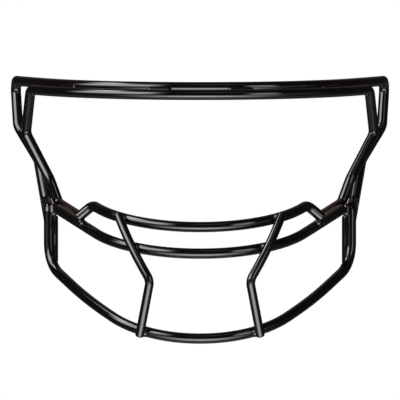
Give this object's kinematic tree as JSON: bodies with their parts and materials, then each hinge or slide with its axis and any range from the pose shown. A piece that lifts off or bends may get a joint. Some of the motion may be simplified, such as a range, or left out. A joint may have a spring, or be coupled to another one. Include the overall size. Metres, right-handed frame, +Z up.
{
  "type": "football helmet facemask",
  "caption": "Gloss black welded-wire facemask: paired brow bars, side wires, U bars over the mouth, bent centre guards and a chin bar, open for the eyes.",
  "frame": {"origin": "middle of the upper brow bar's centreline", "axes": "front of the mask is -Y, +Z up, +X to the right seen from the front"},
  "size_m": [0.2478, 0.1432, 0.1741],
  "materials": {
    "black_coat": "gloss"
  },
  "bodies": {
    "root": {"brace_foot_weld_left": "black_coat", "brace_foot_weld_right": "black_coat", "brace_top_weld_left": "black_coat", "brace_top_weld_right": "black_coat", "brow_welds": "black_coat", "centre_guard_left": "black_coat", "centre_guard_right": "black_coat", "cheek_weld_left": "black_coat", "cheek_weld_right": "black_coat", "guard_chin_weld_left": "black_coat", "guard_chin_weld_right": "black_coat", "guard_mid_weld_left": "black_coat", "guard_mid_weld_right": "black_coat", "guard_nose_weld_left": "black_coat", "guard_nose_weld_right": "black_coat", "jaw_upright_left": "black_coat", "jaw_upright_right": "black_coat", "jaw_upright_weld_left": "black_coat", "jaw_upright_weld_right": "black_coat", "lower_brow_end_weld_left": "black_coat", "lower_brow_end_weld_right": "black_coat", "lower_brow_wire": "black_coat", "mid_bar": "black_coat", "mid_bar_end_weld_left": "black_coat", "mid_bar_end_weld_right": "black_coat", "nose_bar": "black_coat", "nose_bar_end_weld_left": "black_coat", "nose_bar_end_weld_right": "black_coat", "perimeter_wire": "black_coat", "side_brace_left": "black_coat", "side_brace_right": "black_coat"}
  },
  "joints": []
}
